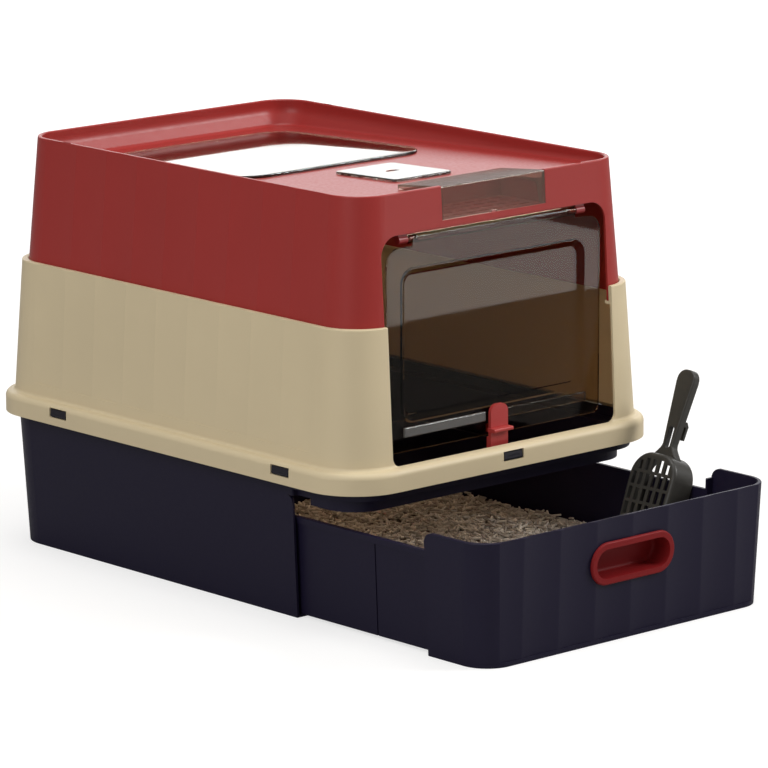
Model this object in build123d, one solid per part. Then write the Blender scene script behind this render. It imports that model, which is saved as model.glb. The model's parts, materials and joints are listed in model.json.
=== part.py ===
from build123d import *
import math
import os

os.makedirs("parts", exist_ok=True)

# Drawer litter box, millimetres, +Z up. X is across, the front faces -Y.
# Origin: middle of the housing's footprint, on the floor. The drawer is shown pulled out.

# ---- clearances ----
SLIDE_GAP = 0.4          # faces that slide past each other
SEAT_GAP = 0.05          # faces that rest on each other
LID_GAP = 0.5            # a lid's plug inside its opening
PIN_GAP = 0.05           # radial, pin in its bore

# ---- walls ----
WALL = 2.6               # moulded shells
FRONT_WALL = 3.6         # fluted drawer front
SHEET = 2.2              # clear smoke parts

# ---- heights above the floor ----
BASE_TOP = 133.0         # lower edge of the mid shell's flange
FLANGE_H = 24.0          # from the flange's lower edge to the shell wall
MID_TOP = 285.0          # the mid shell's rim
UP_TOP = 406.0           # the upper shell's rim
OVERLAP = 15.0           # the upper shell stands this deep in the mid shell

# ---- half sizes (x, y) and corner radius of the drafted walls ----
BASE_LO = (181.5, 256.0, 38.0)
BASE_HI = (187.7, 262.8, 40.0)
MID_LO = (195.0, 263.0, 45.0)
MID_HI = (187.5, 256.0, 42.0)
UP_LO = (181.5, 251.5, 40.0)
UP_HI = (171.5, 244.0, 35.0)
FLANGE_HALF = (205.0, 273.0, 56.0)
FLANGE_ROLL = 6.2        # roll radius at the flange's outer edge
FLANGE_SWEEP = 3.2       # radius where the wall runs into the flange
FLANGE_BEVEL = 3.0       # bevel inside the roll
SWEEP_BEVEL = 3.4        # bevel inside the sweep

# ---- flutes in the walls ----
FLUTE_PITCH = 46.0
FLUTE_DEPTH = 0.8
DRAWER_FLUTE_DEPTH = 1.7
RIDGE_SOFT = 9.0         # rounded ridges between the drawer's flutes
FLUTE_FOOT = 10.0        # plain wall under the mid shell's flutes

# ---- doorway and flap ----
DOOR_SILL = 154.0
DOOR_TOP = 367.0
DOOR_HALF = 144.0
DOOR_R_TOP = 19.0
DOOR_R_LOW = 9.0
FLAP_HALF = 137.0
FLAP_LOW = 162.0
FLAP_TOP = 354.5
FLAP_R_TOP = 15.0
FLAP_R_LOW = 8.0
FLAP_Y = -247.0          # front face of the flap's frame
PANEL_HALF = 117.0       # pressed-in panel, outer outline
PANEL_LOW = 190.0
PANEL_TOP = 333.0
PANEL_R = 13.0
PANEL_DEPTH = 5.0
PANEL_RUN = 6.0          # width of the panel's sloping sides
HINGE_Y = -241.5
HINGE_Z = 360.8
TUBE_R = 4.1
TUBE_HALF = 107.0
PIN_R = 2.0
PIN_LEN = 10.0
BAR_H = 9.0
BAR_T = 2.4
BAR_LOW = 176.0
BAR_HALF = 117.0

# ---- latch on the flap ----
LATCH_W = 22.0
LATCH_TOP = 191.5
LATCH_LEDGE_Z = 165.5
LATCH_FOOT = 147.0
LATCH_T = 3.4
LATCH_TRAVEL = 14.0
STEM_W = 7.0
STEM_H = 5.0
STEM_Z = 165.6

# ---- top deck ----
RIM_W = 4.2              # the rim's width at its top
RIM_STEP = 11.0          # upright part of the rim's inner face
DECK_DROP_BACK = 26.5    # deck below the rim at the back
DECK_DROP_FRONT = 9.5    # deck below the rim at the front
FUNNEL_RUN = 11.0        # sloping foot of the rim's inner face
FUNNEL_DROP = 17.0
FUNNEL_SOFT = 14.0       # radius between the upright part and the foot
DECK_SOFT = 5.0          # radius where the foot meets the deck
RIM_SOFT = 1.2           # rounded rims
SKY_SIZE = (240.0, 224.0, 33.0)
SKY_Y = 83.0
SKY_LIP = 8.0
SKY_T = 2.8
HATCH_SIZE = (76.0, 89.0, 8.0)
HATCH_Y = -106.0
HATCH_LIP = 6.0
PLUG_DEPTH = 6.0

# ---- compartment behind the cover ----
CELL_HALF = 66.5
CELL_DEEP = 32.5         # the compartment's floor below the rim
CELL_FLOOR = UP_TOP - CELL_DEEP
CELL_BACK = -184.0
COVER_REAR_DROP = 6.5    # the cover's rear edge below the rim
COVER_REAR_Z = UP_TOP - COVER_REAR_DROP
CELL_WALL = 2.2
CELL_ROWS = 4
CELL_SLOTS = 7

# ---- base housing ----
FLOOR_T = 2.2
BASE_CUT_Y = -170.5      # front edge of the base's side walls
BAND_LOW = 112.0         # lower edge of the cross band over the drawer
BAND_HALF = (181.5, 247.8, 34.0)
BAND_T = 3.0
SKIRT_LOW = 125.0        # the base's wall runs round the front above this
NECK_LOW = 118.5         # the band is cut away up to here beside the side walls
NECK_Y = -190.0
NECK_R = 8.0
RIM_INSET = (3.4, 3.4, 3.0)
RIM_OUT = tuple(outer - inset for outer, inset in zip(FLANGE_HALF, RIM_INSET))
RIM_T = 2.6

# ---- clips ----
CLIP_L = 23.0
CLIP_H = 7.0
CLIP_Z = 145.3
CLIP_Y = (155.0, -173.0)
SLOT_L = 26.0
SLOT_H = 9.4

# ---- drawer ----
PULL = 180.0             # how far the drawer is shown pulled out
DRAWER_TOP = 97.5
DRAWER_LOW = 2.6
BODY_LO = (175.0, 30.0)  # half width and corner radius at the foot
BODY_HI = (179.0, 30.0)
BODY_BACK = 62.0
WING_Y = -352.0
WING_TOP = 117.5
FRONT_LO = (182.5, -428.0, 29.0)
FRONT_HI = (188.5, -432.0, 31.0)
LIP_H = 6.5
LIP_OUT = 1.8
WING_R = 11.0
WEB_TOP = 108.0          # top of the step between the tub's wall and the wing
SEAM_Y = -275.0
SEAM_DEPTH = 1.3
SEAM_W = 1.6
LITTER_TOP = 38.0

# ---- handle in the drawer front ----
GRIP_W = 107.0
GRIP_H = 40.6
GRIP_RIM = 6.2
GRIP_PROUD = 2.6
GRIP_DEPTH = 22.0
GRIP_Z = 75.5
GRIP_T = 2.2

# ---- scoop ----
SCOOP_AT = (171.0, -306.2, 124.0)
SCOOP_LEAN = 21.5
BLADE_W = 60.0
BLADE_L = 86.7
BLADE_D = 27.0
BLADE_T = 2.2
BLADE_SHOULDER = 24.0
HANDLE_L = 84.0
HANDLE_T = 8.0
HANDLE_LOW_W = 13.0
HANDLE_TOP_W = 23.0
SLOT_ROWS = 5
SLOT_COLS = 6
SLOT_PITCH = (8.8, 15.0)
SLOT_SIZE = (4.8, 12.0)


def lerp(a, b, t):
    return a + (b - a) * t


def sizes(lo, hi, z_lo, z_hi, z):
    """Half sizes and corner radius of a drafted wall at height z."""
    t = (z - z_lo) / (z_hi - z_lo)
    return tuple(lerp(p, q, t) for p, q in zip(lo, hi))


def outline(half, z, inset=0.0):
    hx, hy, r = half
    return Pos(0, 0, z) * RectangleRounded(2 * (hx - inset), 2 * (hy - inset), r - inset)


def block(half_a, z_a, half_b, z_b, inset_a=0.0, inset_b=0.0):
    """Solid between two rounded rectangles."""
    return loft([outline(half_a, z_a, inset_a), outline(half_b, z_b, inset_b)], ruled=True)


def base_half(z):
    return sizes(BASE_LO, BASE_HI, 0.0, BASE_TOP, z)


def mid_half(z):
    return sizes(MID_LO, MID_HI, BASE_TOP + FLANGE_H, MID_TOP, z)


def up_half(z):
    return sizes(UP_LO, UP_HI, MID_TOP, UP_TOP, z)


def drafted(half_at, z_a, z_b, inset=0.0):
    return block(half_at(z_a), z_a, half_at(z_b), z_b, inset, inset)


def span_box(x0, x1, y0, y1, z0, z1):
    return Pos((x0 + x1) / 2, (y0 + y1) / 2, (z0 + z1) / 2) * Box(x1 - x0, y1 - y0, z1 - z0)


def flute_radius(depth):
    return FLUTE_PITCH ** 2 / (8 * depth) + depth / 2


def flute_cutters(half_at, z_a, z_b, depth, faces):
    """Long round bars that press shallow flutes into drafted walls."""
    r = flute_radius(depth)
    past = 60.0
    lo, hi = half_at(z_a), half_at(z_b)
    reach = r * math.hypot(1.0, (hi[0] - lo[0]) / (z_b - z_a))
    bars = []
    for face in faces:
        along = 1 if face in ("left", "right") else 0
        across = 1 - along
        count = int(2 * (lo[along] - lo[2]) / FLUTE_PITCH)
        sign = -1 if face in ("left", "front") else 1
        for i in range(count):
            s = (i - (count - 1) / 2) * FLUTE_PITCH
            a = sign * (lo[across] + reach - depth)
            b = sign * (hi[across] + reach - depth)
            c = b + (b - a) * past / (z_b - z_a)
            if along:
                line = Line((a, s, z_a), (c, s, z_b + past))
            else:
                line = Line((s, a, z_a), (s, c, z_b + past))
            bars.append(sweep(Plane(origin=line @ 0, z_dir=line % 0) * Circle(r), path=line))
    return bars


# ---------------------------------------------------------------- top deck frame
DECK_RISE = (DECK_DROP_BACK - DECK_DROP_FRONT) / (2 * UP_HI[1])
DECK_TILT = math.degrees(math.atan(DECK_RISE))
DECK_MID = UP_TOP - (DECK_DROP_BACK + DECK_DROP_FRONT) / 2
DECK = Pos(0, 0, DECK_MID) * Rot(-DECK_TILT, 0, 0)


def above_deck(lower=0.0):
    return DECK * Pos(0, 0, -lower) * Box(900, 900, 120, align=(Align.CENTER, Align.CENTER, Align.MIN))


def funnel(inset, drop):
    """The well inside the raised rim: upright at the top, sloping in at its foot."""
    z_step = UP_TOP - RIM_STEP - drop
    z_foot = z_step - FUNNEL_DROP
    upright = block(up_half(z_step), z_step, up_half(UP_TOP + 5), UP_TOP + 5, inset, inset)
    slope = block(up_half(z_foot), z_foot, up_half(z_step), z_step, inset + FUNNEL_RUN, inset)
    well = upright + slope
    near = up_half(z_step)
    return fillet(rim_edges(well, z_step, near[0] - inset, near[1] - inset), FUNNEL_SOFT)


def doorway():
    """Doorway prism through the front walls."""
    w, h = 2 * DOOR_HALF, DOOR_TOP - DOOR_SILL
    face = Plane.XZ * Pos(0, (DOOR_TOP + DOOR_SILL) / 2) * Rectangle(w, h)
    tops = face.vertices().sort_by(Axis.Z)[2:]
    face = fillet(tops, DOOR_R_TOP)
    lows = face.vertices().sort_by(Axis.Z)[:2]
    face = fillet(lows, DOOR_R_LOW)
    front_y = MID_LO[1]
    return Pos(0, -(front_y - 60), 0) * extrude(face, amount=120)


def cell_cut():
    """Opening for the cover, through the deck and the front wall."""
    return span_box(-CELL_HALF, CELL_HALF, -UP_LO[1] - 5, CELL_BACK, CELL_FLOOR, UP_TOP + 5)


def soft_top(solid, z, half):
    """Rounds the outer edge of a rim."""
    return fillet(rim_edges(solid, z, half[0], half[1]), RIM_SOFT)


def eased_mouth(half_at, z, inset):
    """Wedge ring that breaks a rim's inner edge."""
    z_low = z - RIM_SOFT + 0.2
    return block(half_at(z_low), z_low, half_at(z + 1), z + 1, inset, inset - RIM_SOFT - 0.8)


def well_tool():
    """The well above the deck, with a soft edge all round its floor."""
    tool = funnel(RIM_W, 0.0) & above_deck()
    floor = [e for e in tool.edges() if abs(deck_height(e.center())) < 0.05]
    return fillet(floor, DECK_SOFT) + eased_mouth(up_half, UP_TOP, RIM_W)


def deck_height(point):
    """Distance of a point from the deck's plane."""
    tilt = math.radians(DECK_TILT)
    return (point.Z - DECK_MID) * math.cos(tilt) + point.Y * math.sin(tilt)


def make_upper_shell():
    z_low = MID_TOP - OVERLAP + SEAT_GAP
    outer = soft_top(drafted(up_half, z_low, UP_TOP), UP_TOP, up_half(UP_TOP))
    outer = outer - flute_cutters(up_half, MID_TOP + 1.0, UP_TOP, FLUTE_DEPTH, ("left", "right", "back"))
    rim_drop = WALL + 0.4
    cavity = drafted(up_half, z_low - 5, UP_TOP - RIM_STEP, WALL)
    under = funnel(RIM_W - WALL - 0.4, rim_drop) & above_deck(WALL)
    shell = outer - (cavity - under) - well_tool()
    sx, sy, sr = SKY_SIZE
    lip = 2 * SKY_LIP
    shell -= DECK * Pos(0, SKY_Y, 0) * extrude(RectangleRounded(sx - lip, sy - lip, sr - SKY_LIP), 40, both=True)
    hx, hy, hr = HATCH_SIZE
    lip = 2 * HATCH_LIP
    shell -= DECK * Pos(0, HATCH_Y, 0) * extrude(RectangleRounded(hx - lip, hy - lip, hr - HATCH_LIP), 40, both=True)
    shell -= doorway()
    shell -= cell_cut()
    rim = UP_HI[0] - RIM_W / 2
    for x in (-rim, rim):
        shell -= span_box(x - 1.1, x + 1.1, 172, 184, UP_TOP - 3, UP_TOP + 1)
    front = -(UP_HI[1] - RIM_W)
    for x in (-112, 112):
        shell -= span_box(x - 4.0, x + 4.0, front - 2.6, front + 3.0, UP_TOP - 2.4, UP_TOP + 1)
    return shell


def rim_edges(form, z, x, y):
    """Straight edges of a rounded rectangle with half sizes x, y at height z."""
    level = [e for e in form.edges() if abs(e.center().Z - z) < 0.05]
    return [e for e in level if abs(abs(e.center().X) - x) < 0.3 or abs(abs(e.center().Y) - y) < 0.3]


def flange_form(inset, shape, inner_size, outer_size):
    """Flange and foot of the wall as one form; shape is fillet or chamfer."""
    z_wall = BASE_TOP + FLANGE_H
    z_deck = z_wall - FLANGE_SWEEP - inset
    skirt = block(FLANGE_HALF, BASE_TOP, FLANGE_HALF, z_deck, inset, inset)
    form = skirt + drafted(mid_half, z_deck - 4.0, z_wall + FLUTE_FOOT, inset)
    near = mid_half(z_deck)
    form = shape(rim_edges(form, z_deck, near[0] - inset, near[1] - inset), inner_size)
    far = rim_edges(form, z_deck, FLANGE_HALF[0] - inset, FLANGE_HALF[1] - inset)
    return shape(far, outer_size)


def make_mid_shell():
    z_wall = BASE_TOP + FLANGE_H
    wall = soft_top(drafted(mid_half, z_wall, MID_TOP), MID_TOP, mid_half(MID_TOP))
    wall = wall - flute_cutters(mid_half, z_wall, MID_TOP, FLUTE_DEPTH, ("left", "right", "back"))
    outer = wall + flange_form(0.0, fillet, FLANGE_SWEEP, FLANGE_ROLL)
    z_ledge = MID_TOP - OVERLAP
    hollow = drafted(mid_half, z_wall - 2, z_ledge - 3.0, WALL)
    hollow = hollow + flange_form(WALL, chamfer, SWEEP_BEVEL, FLANGE_BEVEL)
    ledge_bore = drafted(mid_half, z_ledge - 5.0, z_ledge + 1.0, WALL + 7.0)
    seat = drafted(up_half, z_ledge, MID_TOP + 5, -0.3) + eased_mouth(up_half, MID_TOP, -0.3)
    shell = outer - hollow - ledge_bore - seat
    shell -= block(FLANGE_HALF, BASE_TOP - 5, FLANGE_HALF, BASE_TOP + 0.5, WALL, WALL)
    shell -= doorway()
    for box in clip_slots():
        shell -= box
    return shell


def clip_places():
    """(name, x, y, turn) of each clip; turn faces its outer side."""
    fx, fy = FLANGE_HALF[0], FLANGE_HALF[1]
    return [("left_rear", -fx, CLIP_Y[0], 180), ("left_front", -fx, CLIP_Y[1], 180),
            ("right_rear", fx, CLIP_Y[0], 0), ("right_front", fx, CLIP_Y[1], 0),
            ("front", 0, -fy, -90), ("back", 0, fy, 90)]


def clip_slots():
    slot = Box(8, SLOT_L, SLOT_H)
    return [Pos(x, y, CLIP_Z) * Rot(0, 0, turn) * slot for _, x, y, turn in clip_places()]


def make_clip(x, y, turn):
    """Snap tongue: a plate on the base's rim with a wedge that fills the flange's slot."""
    gap = FLANGE_HALF[0] - RIM_OUT[0]
    a = -gap + SEAT_GAP
    pts = [(a, -CLIP_H / 2), (-0.2, -CLIP_H / 2), (0.0, -CLIP_H / 2 + 1.2), (-0.9, CLIP_H / 2), (a, CLIP_H / 2)]
    wedge = extrude(Plane.XZ * make_face(Polyline(*pts, close=True)), CLIP_L / 2, both=True)
    groove = Box(1.0, CLIP_L - 8, 1.6)
    return Pos(x, y, CLIP_Z) * Rot(0, 0, turn) * (wedge - groove)


def fence_top():
    """Height at which the base's rim meets the bevel under the flange."""
    ceiling = BASE_TOP + FLANGE_H - FLANGE_SWEEP - WALL
    across = RIM_OUT[0] - (FLANGE_HALF[0] - WALL - FLANGE_BEVEL)
    return ceiling - across - 1.5 * SEAT_GAP


def make_base():
    """Tub with its front cut open for the drawer; a band and a skirt close the ring above."""
    z_rim = BASE_TOP + 4.0
    top = fence_top()
    outer = drafted(base_half, 0.0, z_rim)
    inner = drafted(base_half, FLOOR_T, BASE_TOP + 20, WALL)
    flare = block(RIM_OUT, z_rim, RIM_OUT, z_rim + RIM_T)
    fence = block(RIM_OUT, z_rim, RIM_OUT, top) - block(RIM_OUT, z_rim - 1, RIM_OUT, top + 1, RIM_T, RIM_T)
    tub = outer + flare + fence - inner
    tub = tub - side_cut()
    band = block(BAND_HALF, BAND_LOW, BAND_HALF, z_rim + 0.5)
    ledge = drafted(base_half, SKIRT_LOW, SKIRT_LOW + WALL, 1.0)
    shelf = block(RIM_OUT, z_rim, RIM_OUT, z_rim + RIM_T)
    ring = band + ledge + shelf - block(BAND_HALF, BAND_LOW - 1, BAND_HALF, z_rim + 9, BAND_T, BAND_T)
    ring = ring & span_box(-300, 300, -400, BASE_CUT_Y + 1.5, 0, 300)
    neck = span_box(-300, 300, NECK_Y, BASE_CUT_Y + 5, 0, NECK_LOW)
    ring = ring - neck
    half = base_half(BASE_TOP)[0]
    webs = []
    for s in (-1, 1):
        x0, x1 = sorted((s * (BAND_HALF[0] - BAND_T), s * (half - 1.0)))
        webs.append(span_box(x0, x1, BASE_CUT_Y - 1, BASE_CUT_Y + 2, NECK_LOW, z_rim + 1))
    tub = tub + ring + webs
    for y in (-90.0, 0.0, 90.0):
        tub -= Pos(0, y, 0) * extrude(RectangleRounded(2 * BASE_LO[0] - 60, 20, 6), 0.6)
    return tub


def side_cut():
    """What is cut from the tub's front, with a rounded upper corner on the side walls."""
    cut = span_box(-300, 300, -400, BASE_CUT_Y, -5, SKIRT_LOW)
    low = NECK_LOW - NECK_R
    corner = span_box(-300, 300, BASE_CUT_Y - 1, BASE_CUT_Y + NECK_R, low, NECK_LOW)
    disc = Pos(0, BASE_CUT_Y + NECK_R, low) * Rot(0, 90, 0) * Cylinder(NECK_R, 700)
    return cut + (corner - disc)


def drawer_body_half(z):
    hw, r = (lerp(a, b, (z - DRAWER_LOW) / (DRAWER_TOP - DRAWER_LOW)) for a, b in zip(BODY_LO, BODY_HI))
    slope = (BODY_HI[0] - BODY_LO[0]) / (DRAWER_TOP - DRAWER_LOW)
    back = BODY_BACK + slope * (z - DRAWER_LOW)
    return hw, back, r


def body_block(z_a, z_b, inset=0.0):
    """The drawer's tub, long enough to run into its front."""
    faces = []
    front = WING_Y - 60
    for z in (z_a, z_b):
        hw, back, r = drawer_body_half(z)
        length = back - front
        rect = RectangleRounded(2 * (hw - inset), length - 2 * inset, r - inset)
        faces.append(Pos(0, (back + front) / 2, z) * rect)
    return loft(faces, ruled=True)


def front_half(z):
    t = z / WING_TOP
    return lerp(FRONT_LO[0], FRONT_HI[0], t), lerp(FRONT_LO[1], FRONT_HI[1], t), lerp(FRONT_LO[2], FRONT_HI[2], t)


def front_block(z_a, z_b, inset=0.0):
    """The taller front with its wings."""
    faces = []
    rear = WING_Y + 60
    for z in (z_a, z_b):
        hw, fy, r = front_half(z)
        rect = RectangleRounded(2 * (hw - inset), rear - fy - 2 * inset, r - inset)
        faces.append(Pos(0, (rear + fy) / 2, z) * rect)
    return loft(faces, ruled=True)


def front_flutes():
    r = flute_radius(DRAWER_FLUTE_DEPTH)
    bars = []
    y0, y1 = front_half(0)[1], front_half(WING_TOP)[1]
    for i in range(8):
        x = (i - 3.5) * FLUTE_PITCH
        line = Line((x, y0 - r + DRAWER_FLUTE_DEPTH, -1), (x, y1 - r + DRAWER_FLUTE_DEPTH, WING_TOP + 1))
        bars.append(sweep(Plane(origin=line @ 0, z_dir=line % 0) * Circle(r), path=line))
    return bars


def front_plane_y(z):
    return front_half(z)[1]


def wing_rounding():
    """Rounds the wings' rear edges at the top, seen from the side."""
    side = Plane.YZ * Pos(WING_Y + WING_R, WING_TOP - WING_R + 1) * Rectangle(2 * WING_R, 2 * WING_R + 2)
    disc = Plane.YZ * Pos(WING_Y - WING_R, WING_TOP - WING_R) * Circle(WING_R)
    corner = Plane.YZ * Pos(WING_Y - WING_R / 2, WING_TOP - WING_R / 2) * Rectangle(WING_R, WING_R)
    return extrude(corner - disc, 300, both=True)


def grip_outline(grow):
    w, h = GRIP_W + 2 * grow, GRIP_H + 2 * grow
    return RectangleRounded(w, h, h / 2 - 0.2)


def grip_frame():
    """Local frame on the drawer front: X across, Y up, Z out of the front."""
    lean = math.degrees(math.atan((FRONT_LO[1] - FRONT_HI[1]) / WING_TOP))
    y = front_plane_y(GRIP_Z)
    return Pos(0, y, GRIP_Z) * Rot(lean, 0, 0) * Rot(90, 0, 0)


def seam_groove(side, z_low, z_high):
    """Upright groove in a side wall, where the moulding's slide met."""
    lo, hi = drawer_body_half(z_low)[0], drawer_body_half(z_high)[0]
    pts = [(side * (lo - SEAM_DEPTH), z_low - 1), (side * (lo + 5), z_low - 1),
           (side * (hi + 5), z_high), (side * (hi - SEAM_DEPTH), z_high)]
    return Pos(0, SEAM_Y, 0) * extrude(Plane.XZ * make_face(Polyline(*pts, close=True)), SEAM_W)


def make_drawer():
    keep_rear = span_box(-300, 300, WING_Y, 400, -5, 300)
    body = body_block(DRAWER_LOW, DRAWER_TOP) & keep_rear
    z_lip = DRAWER_TOP - LIP_H
    lip = body_block(z_lip, DRAWER_TOP, -LIP_OUT)
    edges = [e for e in lip.edges() if abs(e.center().Z - DRAWER_TOP) < 0.05]
    lip = fillet(edges, RIM_SOFT) & keep_rear
    front = front_block(0.0, WING_TOP)
    upper = [e for e in front.edges() if abs(e.center().Z - WING_TOP) < 0.05]
    front = fillet(upper, RIM_SOFT) - front_flutes()
    ridges = [e for e in front.edges() if e.center().Y < FRONT_HI[1] + 3 and e.length > WING_TOP - 20
              and abs(e.center().X) < 3.2 * FLUTE_PITCH]
    front = fillet(ridges, RIDGE_SOFT) & span_box(-300, 300, -500, WING_Y, -5, 300)
    solid = body + lip + front
    floor_z = DRAWER_LOW + WALL
    inner_body = body_block(floor_z, WING_TOP + 20, WALL) & span_box(-300, 300, WING_Y - 1, 400, -5, 300)
    inner_front = front_block(floor_z, WING_TOP + 20, FRONT_WALL)
    inner_front = inner_front & span_box(-300, 300, -500, WING_Y - WALL, -5, 300)
    skirt = front_block(-1.0, DRAWER_LOW, FRONT_WALL) & span_box(-300, 300, -500, WING_Y - WALL, -5, 300)
    join = body_block(floor_z, WING_TOP + 20, WALL) & span_box(-300, 300, WING_Y - WALL - 2, WING_Y + 2, -5, 300)
    open_top = front_block(WEB_TOP, WING_TOP + 20, FRONT_WALL) & span_box(-300, 300, -500, WING_Y + 1, -5, 300)
    drawer = solid - inner_body - inner_front - skirt - join - open_top
    drawer -= wing_rounding()
    for s in (-1, 1):
        drawer -= seam_groove(s, DRAWER_LOW, z_lip)
    hole = grip_frame() * extrude(grip_outline(-GRIP_RIM + GRIP_T + 0.3), 30, both=True)
    return drawer - hole


def make_grip():
    """Oval pull: a proud rounded rim and a cup behind it."""
    frame = grip_frame()
    rim = extrude(grip_outline(0.0), GRIP_PROUD)
    rim = fillet(rim.edges().group_by(Axis.Z)[-1], 1.8)
    cup = Pos(0, 0, -GRIP_DEPTH) * extrude(grip_outline(-GRIP_RIM + GRIP_T), GRIP_DEPTH)
    cup = chamfer(cup.edges().group_by(Axis.Z)[0], 3.0)
    hollow = Pos(0, 0, -GRIP_DEPTH + GRIP_T) * extrude(grip_outline(-GRIP_RIM), GRIP_DEPTH + 10)
    hollow = fillet(hollow.edges().group_by(Axis.Z)[0], 3.5)
    return frame * Pos(0, 0, SEAT_GAP) * (rim + cup - hollow)


def make_litter():
    """Loose fill, as one gently heaped body inside the drawer."""
    z0 = DRAWER_LOW + WALL + SEAT_GAP
    gap = WALL + 0.3
    tub = body_block(z0, LITTER_TOP, gap) & span_box(-300, 300, WING_Y + 1, 400, 0, 300)
    nose = front_block(z0, LITTER_TOP, FRONT_WALL + 0.3) & span_box(-300, 300, -500, WING_Y - WALL - 0.3, 0, 300)
    neck = body_block(z0, LITTER_TOP, gap) & span_box(-300, 300, WING_Y - WALL - 2, WING_Y + 3, 0, 300)
    fill = tub + neck + nose
    return fill - grip_room()


def grip_room():
    return grip_frame() * extrude(grip_outline(-GRIP_RIM + GRIP_T + 1.0), GRIP_DEPTH + 1.0, both=True)


def make_flap():
    w, h = 2 * FLAP_HALF, FLAP_TOP - FLAP_LOW
    face = Plane.XZ * Pos(0, (FLAP_TOP + FLAP_LOW) / 2) * Rectangle(w, h)
    face = fillet(face.vertices().sort_by(Axis.Z)[2:], FLAP_R_TOP)
    face = fillet(face.vertices().sort_by(Axis.Z)[:2], FLAP_R_LOW)
    sheet = Pos(0, FLAP_Y + SHEET, 0) * extrude(face, SHEET)
    back = panel_loft(FLAP_Y + SHEET, PANEL_DEPTH, SHEET * 0.9)
    front = panel_loft(FLAP_Y, PANEL_DEPTH, 0.0)
    flap = sheet + back - front
    tube = Pos(0, HINGE_Y, HINGE_Z) * Rot(0, 90, 0) * Cylinder(TUBE_R, 2 * TUBE_HALF)
    web = span_box(-TUBE_HALF + 3, TUBE_HALF - 3, FLAP_Y, FLAP_Y + SHEET, FLAP_TOP - 2, HINGE_Z)
    bridge = span_box(-TUBE_HALF + 3, TUBE_HALF - 3, FLAP_Y, HINGE_Y, HINGE_Z - 1.2, HINGE_Z + 1.2)
    flap = flap + web + bridge + tube
    for s in (-1, 1):
        x = s * (TUBE_HALF - PIN_LEN / 2)
        flap -= Pos(x, HINGE_Y, HINGE_Z) * Rot(0, 90, 0) * Cylinder(PIN_R + PIN_GAP, PIN_LEN + 2)
    slot_h = STEM_H + LATCH_TRAVEL + 0.8
    slot = span_box(-STEM_W / 2 - 0.4, STEM_W / 2 + 0.4, FLAP_Y - 5, FLAP_Y + 5, STEM_Z - 0.4, STEM_Z - 0.4 + slot_h)
    return flap - slot


def panel_loft(y_front, depth, grow):
    """The pressed-in panel's form, wider at its mouth."""
    w, h = 2 * PANEL_HALF, PANEL_TOP - PANEL_LOW
    z_mid = (PANEL_TOP + PANEL_LOW) / 2
    mouth = Plane.XZ * Pos(0, z_mid, -y_front) * RectangleRounded(w + 2 * grow, h + 2 * grow, PANEL_R + grow)
    run = 2 * PANEL_RUN
    deep_w, deep_h = w - run + 2 * grow, h - run + 2 * grow
    deep = Plane.XZ * Pos(0, z_mid, -y_front - depth) * RectangleRounded(deep_w, deep_h, PANEL_R - 4 + grow)
    return loft([mouth, deep], ruled=True)


def make_bar(side):
    """Raised bar on the flap's foot, one piece each side of the latch."""
    a = LATCH_W / 2 + 3.0
    x0, x1 = sorted((side * a, side * BAR_HALF))
    bar = span_box(x0, x1, FLAP_Y - BAR_T, FLAP_Y - SEAT_GAP, BAR_LOW, BAR_LOW + BAR_H)
    edges = bar.edges().filter_by(Axis.X).sort_by(Axis.Y)[:2]
    return fillet(edges, 1.0)


def make_latch():
    """Slide on the flap: its foot stands behind the sill until it is pushed up."""
    y1 = FLAP_Y - BAR_T - SLIDE_GAP
    y0 = y1 - LATCH_T
    w = LATCH_W / 2
    tab = Plane.XZ * Pos(0, (LATCH_TOP + LATCH_FOOT) / 2, -y1) * Rectangle(LATCH_W, LATCH_TOP - LATCH_FOOT)
    tab = fillet(tab.vertices().sort_by(Axis.Z)[2:], 8.0)
    body = extrude(tab, LATCH_T)
    ledge = span_box(-w - 1.2, w + 1.2, y0 - 6.5, y1, LATCH_LEDGE_Z, LATCH_LEDGE_Z + 3.6)
    ledge = fillet(ledge.edges().filter_by(Axis.X).sort_by(Axis.Y)[:2], 1.4)
    foot_y = FLAP_Y - SLIDE_GAP
    block_low = span_box(-w, w, y1 - 0.5, foot_y, LATCH_FOOT, BAR_LOW - LATCH_TRAVEL - 1.5)
    pad = span_box(-STEM_W / 2 - 3, STEM_W / 2 + 3, y1 - 0.5, foot_y, BAR_LOW - LATCH_TRAVEL - 3, STEM_Z + STEM_H + 2)
    stem = span_box(-STEM_W / 2, STEM_W / 2, foot_y - 1, FLAP_Y + SHEET + 0.4, STEM_Z, STEM_Z + STEM_H)
    keeper_y = FLAP_Y + SHEET + 0.4
    keeper = span_box(-8, 8, keeper_y, keeper_y + 2, STEM_Z - 1.5, STEM_Z + STEM_H + 1.0)
    return body + ledge + block_low + pad + stem + keeper


def make_bracket(side):
    """Hinge bracket on the front wall's inner face, with the pin that enters the flap's tube."""
    x0 = TUBE_HALF + 1.2
    x1 = x0 + 11.0
    wall_y = -(up_half(DOOR_TOP)[1] - WALL)
    top = DOOR_TOP + 14.0
    arm = span_box(x0, x1, wall_y + 0.9, HINGE_Y + 6.0, HINGE_Z, top)
    boss = Pos((x0 + x1) / 2, HINGE_Y, HINGE_Z) * Rot(0, 90, 0) * Cylinder(3.6, x1 - x0)
    fill = span_box(x0, x1, HINGE_Y - 1.6, HINGE_Y + 3.6, HINGE_Z, HINGE_Z + 5)
    arm = arm - span_box(x0 - 1, x1 + 1, HINGE_Y + 3.6, HINGE_Y + 10, HINGE_Z - 1, HINGE_Z + 2)
    pin = Pos(x0 - (PIN_LEN - 2) / 2, HINGE_Y, HINGE_Z) * Rot(0, 90, 0) * Cylinder(PIN_R, PIN_LEN - 2 + 0.01)
    body = arm + boss + fill + pin
    return body if side > 0 else mirror(body, about=Plane.YZ)


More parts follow.
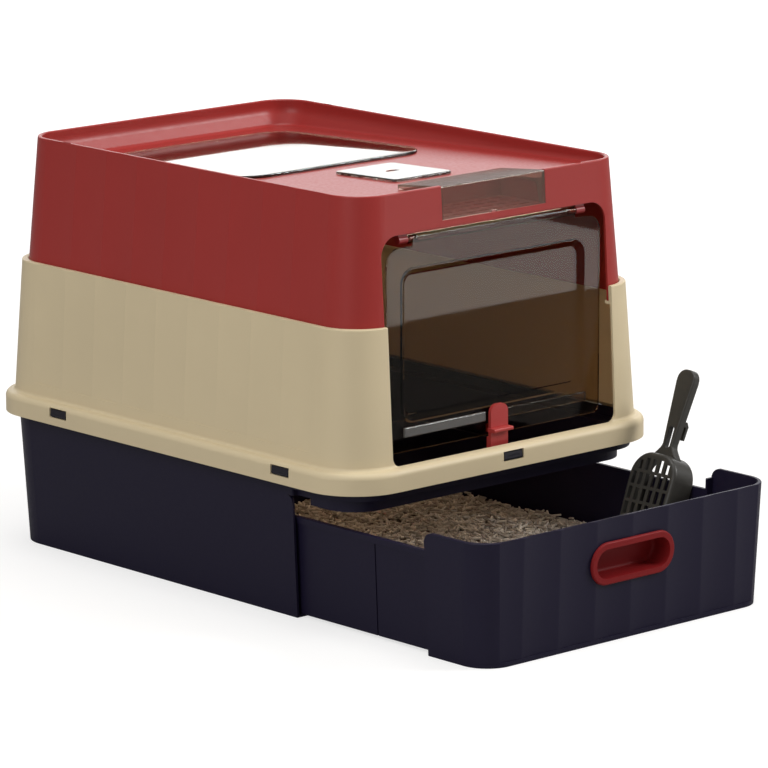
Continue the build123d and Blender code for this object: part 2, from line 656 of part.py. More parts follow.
def lid(size, y, lip, thick, plug):
    """Flat lid with softened edges and a plug that locates it in its opening."""
    sx, sy, sr = size
    plate = extrude(RectangleRounded(sx, sy, sr), thick)
    plate = fillet(plate.edges().group_by(Axis.Z)[-1], min(1.4, thick / 2))
    inner = lip + LID_GAP
    ring = extrude(RectangleRounded(sx - 2 * inner, sy - 2 * inner, sr - inner), -plug)
    hole = extrude(RectangleRounded(sx - 2 * inner - 2 * SHEET, sy - 2 * inner - 2 * SHEET, max(sr - inner - SHEET, 1.0)), -plug - 1)
    return DECK * Pos(0, y, SEAT_GAP) * (plate + ring - hole)


def make_skylight():
    return lid(SKY_SIZE, SKY_Y, SKY_LIP, SKY_T, PLUG_DEPTH)


def make_hatch():
    body = lid(HATCH_SIZE, HATCH_Y, HATCH_LIP, SKY_T, PLUG_DEPTH)
    dish = Cylinder(9.0, 1.5, align=(Align.CENTER, Align.CENTER, Align.MAX))
    dish = dish & Pos(0, 5, 0) * Box(30, 10, 10)
    return body - DECK * Pos(0, HATCH_Y - 2, SKY_T + SEAT_GAP + 0.01) * dish


def make_cover():
    """Bent smoke cover: upright pane in the front wall, sloping top strip, two cheeks."""
    def front_y(z):
        return -up_half(z)[1]
    z0 = CELL_FLOOR + SLIDE_GAP
    zt = UP_TOP - 0.6
    yb = CELL_BACK - 0.4
    outer = [(front_y(z0), z0), (front_y(zt), zt), (yb, COVER_REAR_Z), (yb, COVER_REAR_Z - SHEET)]
    inner = [(front_y(zt) + SHEET, zt - SHEET), (front_y(z0) + SHEET, z0)]
    w = CELL_HALF - SLIDE_GAP
    shape = Plane.YZ * make_face(Polyline(*(outer + inner), close=True))
    body = extrude(shape, w, both=True)
    top_edge = [e for e in body.edges().filter_by(Axis.X) if e.center().Z > UP_TOP - 1.0]
    body = fillet(top_edge, 1.6)
    low = COVER_REAR_Z - 4.0
    cheek = Plane.YZ * make_face(Polyline((front_y(z0) + 0.1, z0), (front_y(zt) + 1, zt - 1), (yb, COVER_REAR_Z - 1),
                                          (yb, low), (front_y(zt) + 10, low - 3), (front_y(z0) + 7, z0), close=True))
    wall = extrude(cheek, SHEET)
    body = body + Pos(-w, 0, 0) * wall + Pos(w - SHEET, 0, 0) * wall
    thumb = Pos(0, front_y(z0), z0) * Box(7, 12, 3)
    return body - thumb


def make_tray():
    """Compartment under the cover, with rows of slots in its floor."""
    t = CELL_WALL
    w = CELL_HALF + t + 0.6
    y0 = -(up_half(CELL_FLOOR)[1] - WALL) + 0.15
    y1 = CELL_BACK + t + 0.6
    z0 = CELL_FLOOR - t
    box = span_box(-w, w, y0, y1, z0, UP_TOP)
    hole = span_box(-w + t, w - t, y0 - 5, y1 - t, CELL_FLOOR, UP_TOP + 1)
    tray = box - hole - above_deck(WALL + SEAT_GAP)
    tray = tray & drafted(up_half, z0 - 5, UP_TOP, WALL + 0.15)
    span = (y1 - t) - y0 - 8
    pitch_y = span / CELL_ROWS
    pitch_x = 2 * (CELL_HALF - 6) / CELL_SLOTS
    places = [((i - (CELL_SLOTS - 1) / 2) * pitch_x, y0 + 6 + (j + 0.5) * pitch_y)
              for i in range(CELL_SLOTS) for j in range(CELL_ROWS)]
    return tray - [Pos(x, y, z0) * Box(pitch_x - 4.5, 3.4, 3 * t) for x, y in places]


def scoop_frame():
    """X out of the blade's back, Y along its width, Z up the handle."""
    x, y, z = SCOOP_AT
    return Pos(x, y, z) * Rot(0, SCOOP_LEAN, 0)


def blade_profile(inset):
    """Blade seen from its back: broad rounded shoulders, slightly narrower at its foot."""
    half = BLADE_W / 2 - inset
    top, low = -1.0 - inset, -BLADE_L + inset
    pts = [(-half + 2.5, low), (half - 2.5, low), (half, low + 50), (half, top), (-half, top), (-half, low + 50)]
    face = Plane.YZ * make_face(Polyline(*pts, close=True))
    face = fillet(face.vertices().sort_by(Axis.Z)[:2], 9.0 - inset / 2)
    return fillet(face.vertices().sort_by(Axis.Z)[-2:], BLADE_SHOULDER - inset)


def blade_slots(x0):
    """Rows of long slots; the top row is shorter where the shoulders close in."""
    slots = []
    for row in range(SLOT_ROWS):
        z = -13.5 - row * SLOT_PITCH[1]
        cols = SLOT_COLS - 1 if row == 0 else SLOT_COLS
        for c in range(cols):
            y = (c - (cols - 1) / 2) * SLOT_PITCH[0]
            high = SLOT_SIZE[1] - (3.0 if row == 0 and c in (0, cols - 1) else 0.0)
            slots.append(Pos(x0, y, z - (SLOT_SIZE[1] - high) / 2) * Box(12, SLOT_SIZE[0], high))
    return slots


def scoop_handle():
    """Tapered grip that flares into the blade, with a hanging slot and a hook behind."""
    w0, w1, t = HANDLE_LOW_W / 2, HANDLE_TOP_W / 2, HANDLE_T / 2
    pts = [(-16, -3), (16, -3), (w0, 8), (w1, HANDLE_L - 12), (w1 - 1, HANDLE_L),
           (-w1 + 1, HANDLE_L), (-w1, HANDLE_L - 12), (-w0, 8)]
    grip = Plane.YZ * make_face(Polyline(*pts, close=True))
    grip = fillet(grip.vertices().sort_by(Axis.Z)[-2:], w1 - 1.6)
    waist = [v for v in grip.vertices() if abs(v.Z - 8) < 0.1]
    grip = fillet(waist, 9.0)
    grip = Pos(-t, 0, 0) * extrude(grip, HANDLE_T)
    grip = fillet(grip.faces().sort_by(Axis.X)[0].edges(), 1.6)
    slot = Pos(0, 0, 17) * Rot(0, 90, 0) * extrude(SlotOverall(22, 7), 20, both=True)
    pocket = Pos(0, 0, 17) * Box(t, 10, 24, align=(Align.MIN, Align.CENTER, Align.CENTER))
    hook = Plane.XZ * make_face(Polyline((t - 1, 35), (t + 7, 35), (t + 10, 31), (t + 9, 17), (t + 6.4, 17),
                                         (t + 6.8, 30), (t - 1, 30), close=True))
    hook = extrude(hook, 4.5, both=True)
    return grip - slot - Pos(1.0, 0, 0) * pocket + hook


def make_scoop():
    x0 = -BLADE_D / 2
    shell = extrude(blade_profile(0.0), BLADE_D)
    shell = fillet(shell.faces().sort_by(Axis.X)[0].edges(), 4.0)
    hollow = Pos(BLADE_T, 0, 0) * extrude(blade_profile(BLADE_T), BLADE_D)
    hollow = fillet(hollow.faces().sort_by(Axis.X)[0].edges(), 2.4)
    blade = Pos(x0, 0, 0) * (shell - hollow) - blade_slots(x0)
    return scoop_frame() * (blade + scoop_handle())


def save(shape, node):
    export_step(shape, "parts/" + node + ".step")


save(make_base(), "base_housing")
save(make_mid_shell(), "mid_shell")
save(make_upper_shell(), "upper_shell")
save(make_skylight(), "skylight")
save(make_hatch(), "hatch_lid")
save(make_cover(), "cell_cover")
save(make_tray(), "cell_tray")
save(make_flap(), "flap")
save(make_bar(-1), "flap_bar_left")
save(make_bar(1), "flap_bar_right")
save(make_latch(), "flap_latch")
save(make_bracket(-1), "hinge_bracket_left")
save(make_bracket(1), "hinge_bracket_right")
for clip_name, clip_x, clip_y, clip_turn in clip_places():
    save(make_clip(clip_x, clip_y, clip_turn), "clip_" + clip_name)
save(make_drawer(), "drawer")
save(make_grip(), "drawer_handle")
save(make_litter(), "litter_bed")
save(make_scoop(), "scoop")
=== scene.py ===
import json
import math

import bpy
import bmesh
from mathutils import Matrix, Vector
from mathutils.bvhtree import BVHTree
from mathutils.noise import noise


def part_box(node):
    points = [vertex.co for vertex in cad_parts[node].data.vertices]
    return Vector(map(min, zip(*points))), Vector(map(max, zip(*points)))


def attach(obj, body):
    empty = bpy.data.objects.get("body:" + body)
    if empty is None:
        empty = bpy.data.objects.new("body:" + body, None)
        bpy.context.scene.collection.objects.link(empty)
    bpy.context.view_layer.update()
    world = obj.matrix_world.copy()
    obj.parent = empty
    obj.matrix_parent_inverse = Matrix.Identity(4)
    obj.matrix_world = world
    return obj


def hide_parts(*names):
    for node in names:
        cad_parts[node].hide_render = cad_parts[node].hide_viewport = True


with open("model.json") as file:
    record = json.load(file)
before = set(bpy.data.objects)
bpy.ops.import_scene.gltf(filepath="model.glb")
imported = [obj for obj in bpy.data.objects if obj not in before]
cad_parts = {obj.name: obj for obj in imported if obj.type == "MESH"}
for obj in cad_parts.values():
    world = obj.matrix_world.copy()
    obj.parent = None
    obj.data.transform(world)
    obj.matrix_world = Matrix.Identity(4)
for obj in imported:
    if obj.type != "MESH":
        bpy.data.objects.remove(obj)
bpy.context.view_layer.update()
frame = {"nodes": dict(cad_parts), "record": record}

# ---------------------------------------------------------------- colours


def srgb(r, g, b):
    """8-bit colour as it looks on screen, turned into the linear value a shader wants."""
    def lin(c):
        c = c / 255.0
        return c / 12.92 if c <= 0.04045 else ((c + 0.055) / 1.055) ** 2.4
    return (lin(r), lin(g), lin(b), 1.0)


RED = srgb(158, 49, 45)
CREAM = srgb(214, 197, 162)
NAVY = srgb(29, 25, 46)
TRIM_RED = srgb(140, 34, 34)
LATCH_RED = srgb(178, 60, 57)
HANDLE_RED = srgb(126, 26, 28)
# painted highlight: paler smoke for the left flap bar only
BAR_SMOKE_PAINTED_HIGHLIGHT = srgb(150, 147, 144)
CLIP = srgb(30, 28, 36)
SMOKE = srgb(190, 169, 143)
CLEAR_SMOKE = srgb(178, 160, 138)
# painted highlight: paler tint for the lids' sideways edges
EDGE_SMOKE_PAINTED_HIGHLIGHT = srgb(216, 205, 196)
SCOOP = srgb(58, 56, 52)
PELLET = srgb(222, 209, 196)
COVER = srgb(196, 176, 164)
FLOOR = (0.42, 0.41, 0.40, 1.0)
WHITE = (1.0, 1.0, 1.0, 1.0)

# ---------------------------------------------------------------- sizes, in metres

SKYLIGHT_CENTRE, SKYLIGHT_HALF = (0.0, 0.083), (0.112, 0.104)
HATCH_CENTRE, HATCH_HALF = (0.0, -0.106), (0.032, 0.0385)
MASK_SOFT = 0.0015           # blurred edge of the polished middle of a lid
BED_SKIN = 0.001             # points this near the bed's top belong to it
BED_DROP = 0.0065            # the fill lies this far below the bed's top
RAKE_STEP = 0.005
WALL_MARGIN = 0.0052         # the pellets' centres stay this far from the drawer's walls
FLOOR_HALF = 14.0
FLOOR_Z = -0.0004

# ---------------------------------------------------------------- clear sheets

SHEET_IOR = 1.49
FLAP_IOR = 1.2               # weaker mirror, so the inside shows through the flap
COVER_IOR = 1.35

# ---------------------------------------------------------------- pellets: density, tilt, lift, seed

PELLET_LAYERS = [
    ("litter_pellets_low", 34000.0, 0.2, 0.0016, 8),
    ("litter_pellets_top", 30000.0, 0.42, 0.0046, 15),
]

# ---------------------------------------------------------------- stage: place, aim, size, watts

AMBIENT = 0.27
FLOOR_GLOW = (0.66, 1.0)     # what the camera sees added to the floor, near and far
GLOW_REACH = (1.2, 3.6)      # where the near glow ends and the far one begins
LAMPS = [
    ("key_right", (2.6, -2.35, 2.3), (0, -0.1, 0.2), (1.2, 1.2), 83.0),
    ("fill_left", (-3.2, -0.95, 1.95), (0, 0, 0.2), (2.0, 2.0), 44.0),
    ("soft_top", (0.0, -0.3, 3.4), (0, 0, 0.2), (2.4, 2.4), 60.0),
    ("back_panel", (2.75, 3.05, 1.6), (0, 0, 0.55), (5.0, 1.5), 50.0),
    ("floor_card", (1.03, -1.52, 0.006), (1.03, -1.52, 1.0), (0.7, 0.57), 5.9),
    ("far_card", (2.0, -2.45, 0.006), (2.0, -2.45, 1.0), (0.9, 0.9), 7.0),
]
CAMERA_TURN = (-42.2, 12.35, -0.15)      # azimuth, elevation and roll, degrees
CAMERA_FOCAL = 5130.0                    # in pixels
CAMERA_AWAY = 5.044
CAMERA_ORIGIN = (321.8, 552.6)           # pixel where the frame's origin lies
IMAGE_SIZE = 768
SENSOR = 36.0


# ---------------------------------------------------------------- node helpers


class Tree:
    """Small wrapper that keeps a material's node building readable."""

    def __init__(self, name):
        self.mat = bpy.data.materials.new(name)
        self.mat.use_nodes = True
        self.t = self.mat.node_tree
        self.t.nodes.clear()
        self.out = self.node("ShaderNodeOutputMaterial")

    def node(self, kind, **props):
        n = self.t.nodes.new(kind)
        for key, value in props.items():
            setattr(n, key, value)
        return n

    def put(self, n, socket, value):
        if hasattr(value, "links") and hasattr(value, "is_output"):
            self.t.links.new(value, n.inputs[socket])
        else:
            n.inputs[socket].default_value = value
        return n

    def place(self, kind="Object"):
        return self.node("ShaderNodeTexCoord").outputs[kind]

    def parts(self, vector):
        n = self.node("ShaderNodeSeparateXYZ")
        self.put(n, "Vector", vector)
        return n.outputs

    def math(self, operation, *values):
        n = self.node("ShaderNodeMath", operation=operation)
        for index, value in enumerate(values):
            self.put(n, index, value)
        return n.outputs[0]

    def ray(self, kind):
        return self.node("ShaderNodeLightPath").outputs[kind]

    def noise(self, scale, detail=2.0, rough=0.5):
        n = self.node("ShaderNodeTexNoise")
        self.put(n, "Vector", self.place())
        self.put(n, "Scale", scale)
        self.put(n, "Detail", detail)
        self.put(n, "Roughness", rough)
        return n.outputs["Fac"]

    def span(self, value, low, high, a=0.0, b=1.0):
        n = self.node("ShaderNodeMapRange")
        self.put(n, "Value", value)
        self.put(n, "From Min", a)
        self.put(n, "From Max", b)
        self.put(n, "To Min", low)
        self.put(n, "To Max", high)
        return n.outputs["Result"]

    def mix(self, fac, a, b):
        n = self.node("ShaderNodeMix", data_type="RGBA")
        self.put(n, 0, fac)
        self.put(n, 6, a)
        self.put(n, 7, b)
        return n.outputs[2]

    def bump(self, height, strength, distance, normal=None):
        n = self.node("ShaderNodeBump")
        self.put(n, "Height", height)
        self.put(n, "Strength", strength)
        self.put(n, "Distance", distance)
        if normal is not None:
            self.put(n, "Normal", normal)
        return n.outputs["Normal"]

    def surface(self, shader):
        self.t.links.new(shader.outputs[0], self.out.inputs["Surface"])
        return self.mat


def tint(rgb, k):
    return (min(rgb[0] * k, 1), min(rgb[1] * k, 1), min(rgb[2] * k, 1), 1.0)


def moulded_plastic(name, rgb, rough, spec, tone=0.05):
    """Injection-moulded plastic: even colour with faint drift, fine spark-eroded grain."""
    t = Tree(name)
    drift = t.noise(9.0, 3.0)
    colour = t.mix(drift, tint(rgb, 1 - tone), tint(rgb, 1 + tone))
    fine = t.noise(1400.0, 2.0, 0.6)
    wave = t.noise(26.0, 2.0)
    normal = t.bump(wave, 0.10, 0.0006)
    normal = t.bump(fine, 0.2, 0.00006, normal)
    p = t.node("ShaderNodeBsdfPrincipled")
    t.put(p, "Base Color", colour)
    t.put(p, "Roughness", t.span(t.noise(300.0, 2.0), rough - 0.04, rough + 0.04, 0.3, 0.7))
    t.put(p, "Specular IOR Level", spec)
    t.put(p, "Normal", normal)
    return t.surface(p)


def let_lamps_in(t, sheet, rgb):
    """Light falls through the thin sheet, tinted by it, instead of casting a black shadow."""
    clear = t.node("ShaderNodeBsdfTransparent")
    t.put(clear, "Color", rgb)
    both = t.node("ShaderNodeMixShader")
    t.put(both, 0, t.ray("Is Shadow Ray"))
    t.t.links.new(sheet.outputs[0], both.inputs[1])
    t.t.links.new(clear.outputs[0], both.inputs[2])
    return both


def smoke_plastic(name, rgb, rough=0.02, ior=FLAP_IOR, clear=1.0):
    """Polished smoke sheet whose tint and polish drift a little."""
    t = Tree(name)
    p = t.node("ShaderNodeBsdfPrincipled")
    t.put(p, "Base Color", t.mix(t.noise(5.0, 2.0), tint(rgb, 0.96), tint(rgb, 1.04)))
    t.put(p, "Roughness", t.span(t.noise(60.0, 3.0), rough * 0.5, rough * 1.5, 0.35, 0.65))
    t.put(p, "IOR", ior)
    t.put(p, "Transmission Weight", clear)
    return t.surface(let_lamps_in(t, p, rgb))


def inside_box(t, centre, half):
    """1 over a rectangle of the plan, 0 outside it, read from Object coordinates."""
    along = t.parts(t.place())
    sides = []
    for axis in (0, 1):
        away = t.math("ABSOLUTE", t.math("SUBTRACT", along[axis], centre[axis]))
        sides.append(t.span(away, 1.0, 0.0, half[axis] - MASK_SOFT, half[axis] + MASK_SOFT))
    return t.math("MULTIPLY", *sides)


def facing_up(t, low, high):
    """1 on the sheet's flat top and underside, 0 on its edges."""
    upright = t.math("ABSOLUTE", t.parts(t.place("Normal"))[2])
    return t.span(upright, 0.0, 1.0, low, high)


def lid_sheet(name, rgb, centre, half):
    """Smoke lid: a mirror over its opening, a little duller on the border, with a painted highlight
    making its edges pale.
    """
    t = Tree(name)
    flat = facing_up(t, 0.75, 0.98)
    clear = t.mix(t.noise(6.0, 2.0), tint(rgb, 0.97), tint(rgb, 1.03))
    p = t.node("ShaderNodeBsdfPrincipled")
    # painted highlight: the sideways faces get the pale edge tint, the flat faces the smoke tint
    t.put(p, "Base Color", t.mix(flat, EDGE_SMOKE_PAINTED_HIGHLIGHT, clear))
    polish = t.math("MULTIPLY", inside_box(t, centre, half), flat)
    t.put(p, "Roughness", t.span(polish, 0.1, 0.03))
    t.put(p, "IOR", SHEET_IOR)
    t.put(p, "Transmission Weight", 1.0)
    return t.surface(let_lamps_in(t, p, rgb))


def cover_sheet(name, rgb):
    """Smoke cover: clear upright pane, a duller strip on top whose darker tint is painted shade."""
    t = Tree(name)
    flat = facing_up(t, 0.4, 0.9)
    p = t.node("ShaderNodeBsdfPrincipled")
    # painted shade: the upward-facing strip is tinted darker than the upright pane
    t.put(p, "Base Color", t.mix(flat, rgb, tint(rgb, 0.8)))
    t.put(p, "Roughness", t.span(flat, 0.04, 0.1))
    t.put(p, "IOR", COVER_IOR)
    t.put(p, "Transmission Weight", 0.9)
    return t.surface(let_lamps_in(t, p, rgb))


def pellet_stuff(name, rgb, painted_shade_lumps=False):
    """Pressed wood litter: each pellet has its own tone, with a fibrous bump; the fill under the
    pellets gets painted shade instead.
    """
    t = Tree(name)
    p = t.node("ShaderNodeBsdfPrincipled")
    fibre = t.noise(900.0, 3.0, 0.7)
    if painted_shade_lumps:
        # painted shade: the fill is cut to 6 to 30 per cent of the pellets' colour, darkest at the
        # lumps' edges, standing in for the shade in the gaps between pellets
        cell = t.node("ShaderNodeTexVoronoi")
        t.put(cell, "Vector", t.place())
        t.put(cell, "Scale", 260.0)
        colour = t.mix(cell.outputs["Distance"], tint(rgb, 0.3), tint(rgb, 0.06))
        normal = t.bump(cell.outputs["Distance"], 0.8, -0.002)
    else:
        tone = t.node("ShaderNodeAttribute", attribute_name="tone")
        colour = t.mix(tone.outputs["Fac"], tint(rgb, 0.55), tint(rgb, 1.45))
        colour = t.mix(t.span(fibre, 0.0, 0.25, 0.3, 0.8), colour, tint(rgb, 0.6))
        normal = t.bump(fibre, 0.35, 0.0003)
    t.put(p, "Base Color", colour)
    t.put(p, "Roughness", 0.85)
    t.put(p, "Specular IOR Level", 0.2)
    t.put(p, "Normal", normal)
    return t.surface(p)


SLOT_FINISH = {
    "red_shell": moulded_plastic("red_shell_satin", RED, 0.37, 0.32),
    "cream_shell": moulded_plastic("cream_shell_satin", CREAM, 0.45, 0.3),
    "navy_base": moulded_plastic("navy_base_satin", NAVY, 0.44, 0.2),
    "red_trim": moulded_plastic("red_trim_satin", TRIM_RED, 0.36, 0.4),
    "dark_clip": moulded_plastic("dark_clip_satin", CLIP, 0.4, 0.3),
    "scoop_grey": moulded_plastic("scoop_satin", SCOOP, 0.4, 0.3),
    "smoke_clear": smoke_plastic("smoke_sheet", SMOKE),
}
NODE_FINISH = {
    "skylight": lid_sheet("skylight_sheet", CLEAR_SMOKE, SKYLIGHT_CENTRE, SKYLIGHT_HALF),
    "hatch_lid": lid_sheet("hatch_sheet", CLEAR_SMOKE, HATCH_CENTRE, HATCH_HALF),
    "cell_cover": cover_sheet("cover_sheet", COVER),
    "drawer_handle": moulded_plastic("handle_satin", HANDLE_RED, 0.5, 0.15),
    "flap_latch": moulded_plastic("latch_satin", LATCH_RED, 0.4, 0.35),
    # painted highlight: only the left bar is made paler and less clear, standing in for the light it
    # catches
    "flap_bar_left": smoke_plastic("bar_smoke_painted_highlight", BAR_SMOKE_PAINTED_HIGHLIGHT, 0.06, SHEET_IOR, 0.72),
}
PELLETS = pellet_stuff("wood_pellets", PELLET)
# painted shade: the fill under the pellets is coloured dark to stand for the shade between them
FILL_PAINTED_SHADE = pellet_stuff("wood_pellet_fill_painted_shade", PELLET, painted_shade_lumps=True)


def dress_nodes():
    """Every carried-over CAD node takes its own finish, or else that of its slot."""
    for entry in frame["record"]["subparts"]:
        obj = frame["nodes"][entry["node"]]
        mat = NODE_FINISH.get(entry["node"], SLOT_FINISH.get(entry["material_slot"]))
        if mat is None:
            continue
        for s in obj.material_slots:
            s.material = mat
        if not obj.material_slots:
            obj.data.materials.append(mat)


# ---------------------------------------------------------------- litter


def new_piece(name, mesh):
    obj = bpy.data.objects.new(name, mesh)
    bpy.context.scene.collection.objects.link(obj)
    return obj


def fill_height(x, y):
    """Raked surface of the loose fill, in metres above the solid bed's top."""
    slow = noise(Vector((x * 7.0, y * 7.0, 3.1)))
    quick = noise(Vector((x * 34.0, y * 34.0, 9.7)))
    return 0.0028 * slow + 0.0012 * quick - 0.0022


def bed_copy():
    """The CAD bed, merged, with its top let down a little under the pellets."""
    src = frame["nodes"]["litter_bed"]
    bm = bmesh.new()
    bm.from_mesh(src.data)
    bmesh.ops.remove_doubles(bm, verts=bm.verts, dist=1e-6)
    top = max(v.co.z for v in bm.verts)
    for v in bm.verts:
        if v.co.z > top - BED_SKIN:
            v.co.z = top - BED_DROP
    mesh = bpy.data.meshes.new("litter_fill")
    bm.to_mesh(mesh)
    bm.free()
    mesh.materials.append(FILL_PAINTED_SHADE)
    return new_piece("litter_fill", mesh), top


def raked_surface(top):
    """Grid over the bed, kept about a pellet's half length away from the drawer's walls."""
    src = frame["nodes"]["litter_bed"]
    bm0 = bmesh.new()
    bm0.from_mesh(src.data)
    tree = BVHTree.FromBMesh(bm0)
    lo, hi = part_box("litter_bed")

    def inside(x, y):
        for dx, dy in ((WALL_MARGIN, 0), (-WALL_MARGIN, 0), (0, WALL_MARGIN), (0, -WALL_MARGIN)):
            hit = tree.ray_cast(Vector((x + dx, y + dy, top + 0.05)), Vector((0, 0, -1)))
            if hit[0] is None or hit[0].z < top - 0.002:
                return False
        return True

    nx = int((hi[0] - lo[0]) / RAKE_STEP)
    ny = int((hi[1] - lo[1]) / RAKE_STEP)
    bm = bmesh.new()
    grid = {}
    for i in range(nx + 1):
        for j in range(ny + 1):
            x = lo[0] + i * (hi[0] - lo[0]) / nx
            y = lo[1] + j * (hi[1] - lo[1]) / ny
            if inside(x, y):
                grid[i, j] = bm.verts.new((x, y, top + fill_height(x, y)))
    for i in range(nx):
        for j in range(ny):
            four = [grid.get(k) for k in ((i, j), (i + 1, j), (i + 1, j + 1), (i, j + 1))]
            if all(four):
                bm.faces.new(four)
    bm0.free()
    mesh = bpy.data.meshes.new("litter_ground")
    bm.to_mesh(mesh)
    bm.free()
    return mesh


def socket(group, name, kind, default):
    s = group.interface.new_socket(name=name, in_out="INPUT", socket_type=kind)
    s.default_value = default
    return s


def pellet_scatter():
    """Geometry Nodes tree that strews short rods over a surface."""
    g = bpy.data.node_groups.new("strew_pellets", "GeometryNodeTree")
    g.interface.new_socket(name="Geometry", in_out="INPUT", socket_type="NodeSocketGeometry")
    g.interface.new_socket(name="Geometry", in_out="OUTPUT", socket_type="NodeSocketGeometry")
    socket(g, "Density", "NodeSocketFloat", 60000.0)
    socket(g, "Radius", "NodeSocketFloat", 0.0011)
    socket(g, "Shortest", "NodeSocketFloat", 0.0045)
    socket(g, "Longest", "NodeSocketFloat", 0.011)
    socket(g, "Tilt", "NodeSocketFloat", 0.3)
    socket(g, "Lift", "NodeSocketFloat", 0.0)
    socket(g, "Seed", "NodeSocketInt", 1)
    socket(g, "Material", "NodeSocketMaterial", None)
    n = g.nodes
    link = g.links.new
    gin = n.new("NodeGroupInput")
    gout = n.new("NodeGroupOutput")
    pts = n.new("GeometryNodeDistributePointsOnFaces")
    link(gin.outputs["Geometry"], pts.inputs["Mesh"])
    link(gin.outputs["Density"], pts.inputs["Density"])
    link(gin.outputs["Seed"], pts.inputs["Seed"])
    rod = n.new("GeometryNodeMeshCylinder")
    rod.fill_type = "TRIANGLE_FAN"
    rod.inputs["Vertices"].default_value = 5
    rod.inputs["Depth"].default_value = 1.0
    link(gin.outputs["Radius"], rod.inputs["Radius"])
    lay = n.new("GeometryNodeTransform")
    lay.inputs["Rotation"].default_value = (math.pi / 2, 0, 0)
    link(rod.outputs["Mesh"], lay.inputs["Geometry"])

    def rand(low, high, offset):
        r = n.new("FunctionNodeRandomValue")
        r.data_type = "FLOAT"
        add = n.new("ShaderNodeMath")
        add.operation = "ADD"
        link(gin.outputs["Seed"], add.inputs[0])
        add.inputs[1].default_value = offset
        link(add.outputs[0], r.inputs["Seed"])
        for idx, value in ((2, low), (3, high)):
            if hasattr(value, "links"):
                link(value, r.inputs[idx])
            else:
                r.inputs[idx].default_value = value
        return r.outputs[1]

    turn = rand(0.0, 2 * math.pi, 11)
    neg = n.new("ShaderNodeMath")
    neg.operation = "MULTIPLY"
    neg.inputs[1].default_value = -1.0
    link(gin.outputs["Tilt"], neg.inputs[0])
    tilt = rand(neg.outputs[0], gin.outputs["Tilt"], 23)
    euler = n.new("ShaderNodeCombineXYZ")
    link(tilt, euler.inputs[0])
    link(turn, euler.inputs[2])
    length = rand(gin.outputs["Shortest"], gin.outputs["Longest"], 37)
    size = n.new("ShaderNodeCombineXYZ")
    size.inputs[0].default_value = 1.0
    size.inputs[2].default_value = 1.0
    link(length, size.inputs[1])
    tone = rand(0.0, 1.0, 51)
    inst = n.new("GeometryNodeInstanceOnPoints")
    link(pts.outputs["Points"], inst.inputs["Points"])
    link(lay.outputs["Geometry"], inst.inputs["Instance"])
    link(euler.outputs[0], inst.inputs["Rotation"])
    link(size.outputs[0], inst.inputs["Scale"])
    keep = n.new("GeometryNodeStoreNamedAttribute")
    keep.data_type = "FLOAT"
    keep.domain = "INSTANCE"
    keep.inputs["Name"].default_value = "tone"
    link(inst.outputs["Instances"], keep.inputs["Geometry"])
    link(tone, keep.inputs["Value"])
    move = n.new("GeometryNodeTranslateInstances")
    up = n.new("ShaderNodeCombineXYZ")
    lift = rand(0.0, 1.0, 67)
    times = n.new("ShaderNodeMath")
    times.operation = "MULTIPLY"
    link(lift, times.inputs[0])
    link(gin.outputs["Lift"], times.inputs[1])
    link(times.outputs[0], up.inputs[2])
    link(keep.outputs["Geometry"], move.inputs["Instances"])
    link(up.outputs[0], move.inputs["Translation"])
    move.inputs["Local Space"].default_value = False
    real = n.new("GeometryNodeRealizeInstances")
    link(move.outputs["Instances"], real.inputs["Geometry"])
    paint = n.new("GeometryNodeSetMaterial")
    link(real.outputs["Geometry"], paint.inputs["Geometry"])
    link(gin.outputs["Material"], paint.inputs["Material"])
    link(paint.outputs["Geometry"], gout.inputs["Geometry"])
    return g


def strewn(name, ground, tree, values):
    """Runs the scatter on a copy of the ground and returns a plain mesh piece."""
    carrier = new_piece(name + "_carrier", ground.copy())
    mod = carrier.modifiers.new("strew", "NODES")
    mod.node_group = tree
    for item in tree.interface.items_tree:
        if item.item_type == "SOCKET" and item.in_out == "INPUT" and item.name in values:
            mod[item.identifier] = values[item.name]
    depsgraph = bpy.context.evaluated_depsgraph_get()
    done = carrier.evaluated_get(depsgraph)
    mesh = bpy.data.meshes.new_from_object(done, preserve_all_data_layers=True, depsgraph=depsgraph)
    mesh.name = name
    bpy.data.objects.remove(carrier)
    return new_piece(name, mesh)


def make_litter():
    """Fill and two pellet layers that ride on the drawer in place of the CAD bed."""
    fill, top = bed_copy()
    ground = raked_surface(top)
    tree = pellet_scatter()
    made = [fill]
    for name, density, tilt, lift, seed in PELLET_LAYERS:
        values = {"Density": density, "Tilt": tilt, "Lift": lift, "Seed": seed}
        values["Material"] = PELLETS
        made.append(strewn(name, ground, tree, values))
    bpy.data.meshes.remove(ground)
    for piece in made:
        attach(piece, "drawer")
    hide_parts("litter_bed")


# ---------------------------------------------------------------- stage


def make_world():
    """White to the camera and through clear sheets, dimmer as a light."""
    world = bpy.data.worlds.new("studio_world")
    bpy.context.scene.world = world
    world.use_nodes = True
    t = world.node_tree
    t.nodes.clear()
    out = t.nodes.new("ShaderNodeOutputWorld")
    mix = t.nodes.new("ShaderNodeMixShader")
    seen = t.nodes.new("ShaderNodeBackground")
    seen.inputs[0].default_value = WHITE
    seen.inputs[1].default_value = 1.0
    ambient = t.nodes.new("ShaderNodeBackground")
    ambient.inputs[0].default_value = WHITE
    ambient.inputs[1].default_value = AMBIENT
    path = t.nodes.new("ShaderNodeLightPath")
    most = t.nodes.new("ShaderNodeMath")
    most.operation = "MAXIMUM"
    t.links.new(path.outputs["Is Camera Ray"], most.inputs[0])
    t.links.new(path.outputs["Is Transmission Ray"], most.inputs[1])
    t.links.new(most.outputs[0], mix.inputs[0])
    t.links.new(ambient.outputs[0], mix.inputs[1])
    t.links.new(seen.outputs[0], mix.inputs[2])
    t.links.new(mix.outputs[0], out.inputs[0])


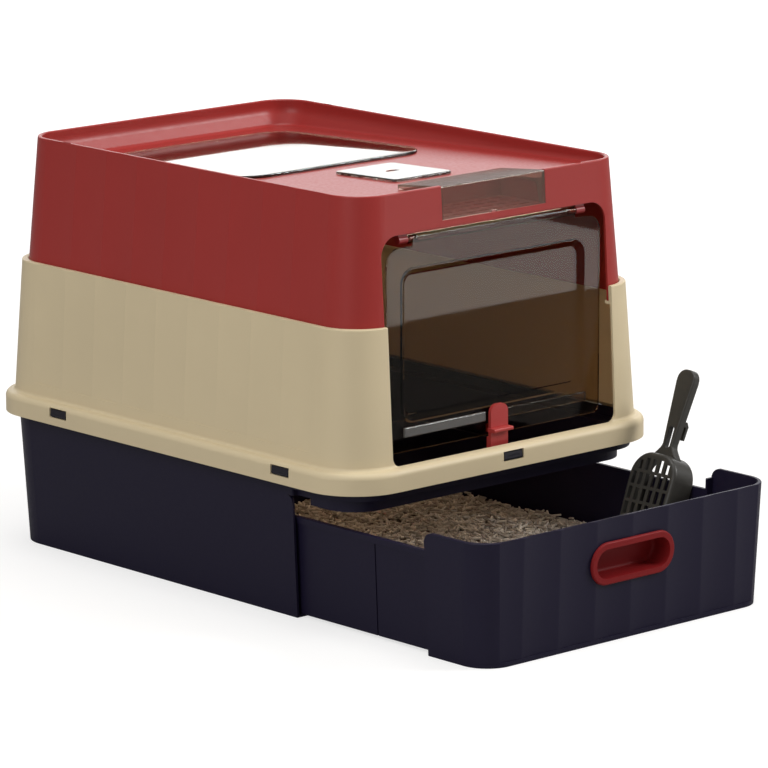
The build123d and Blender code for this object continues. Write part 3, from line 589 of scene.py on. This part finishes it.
def floor_material():
    """Pale studio floor: white to the camera, still holding the soft shadow."""
    t = Tree("pale_floor")
    d = t.node("ShaderNodeBsdfDiffuse")
    t.put(d, "Color", FLOOR)
    e = t.node("ShaderNodeEmission")
    t.put(e, "Color", WHITE)
    far = t.node("ShaderNodeVectorMath", operation="LENGTH")
    t.put(far, 0, t.place())
    glow = t.span(far.outputs["Value"], *FLOOR_GLOW, *GLOW_REACH)
    t.put(e, "Strength", t.math("MULTIPLY", glow, t.ray("Is Camera Ray")))
    add = t.node("ShaderNodeAddShader")
    t.t.links.new(d.outputs[0], add.inputs[0])
    t.t.links.new(e.outputs[0], add.inputs[1])
    return t.surface(add)


def make_floor():
    bm = bmesh.new()
    bmesh.ops.create_grid(bm, x_segments=1, y_segments=1, size=FLOOR_HALF)
    for v in bm.verts:
        v.co.z = FLOOR_Z
    mesh = bpy.data.meshes.new("floor")
    bm.to_mesh(mesh)
    bm.free()
    mesh.materials.append(floor_material())
    new_piece("floor", mesh)


def area_light(name, at, aim, size, power):
    data = bpy.data.lights.new(name, "AREA")
    data.shape = "RECTANGLE"
    data.size, data.size_y = size
    data.energy = power
    obj = bpy.data.objects.new(name, data)
    bpy.context.scene.collection.objects.link(obj)
    obj.location = at
    obj.rotation_euler = (Vector(aim) - Vector(at)).to_track_quat("-Z", "Y").to_euler()
    obj.visible_camera = False


def make_camera():
    """Long lens a little above the box, turned to its front left corner."""
    az, el, roll = (math.radians(a) for a in CAMERA_TURN)
    back = Vector((math.sin(az) * math.cos(el), -math.cos(az) * math.cos(el), math.sin(el)))
    fwd = -back
    right = Vector((math.cos(az), math.sin(az), 0))
    up = right.cross(fwd)
    r2 = right * math.cos(roll) + up * math.sin(roll)
    u2 = -right * math.sin(roll) + up * math.cos(roll)
    cx = (CAMERA_ORIGIN[0] - IMAGE_SIZE / 2) / CAMERA_FOCAL * CAMERA_AWAY
    cy = -(CAMERA_ORIGIN[1] - IMAGE_SIZE / 2) / CAMERA_FOCAL * CAMERA_AWAY
    eye = -cx * r2 - cy * u2 - CAMERA_AWAY * fwd
    data = bpy.data.cameras.new("camera")
    data.sensor_width = SENSOR
    data.lens = CAMERA_FOCAL / IMAGE_SIZE * SENSOR
    data.clip_end = 60.0
    cam = bpy.data.objects.new("camera", data)
    bpy.context.scene.collection.objects.link(cam)
    turn = Matrix((r2, u2, back)).transposed().to_4x4()
    cam.matrix_world = Matrix.Translation(eye) @ turn
    bpy.context.scene.camera = cam


def make_studio():
    bpy.context.scene.view_settings.view_transform = "Standard"
    make_world()
    make_floor()
    for lamp in LAMPS:
        area_light(*lamp)
    make_camera()


dress_nodes()
make_litter()
make_studio()
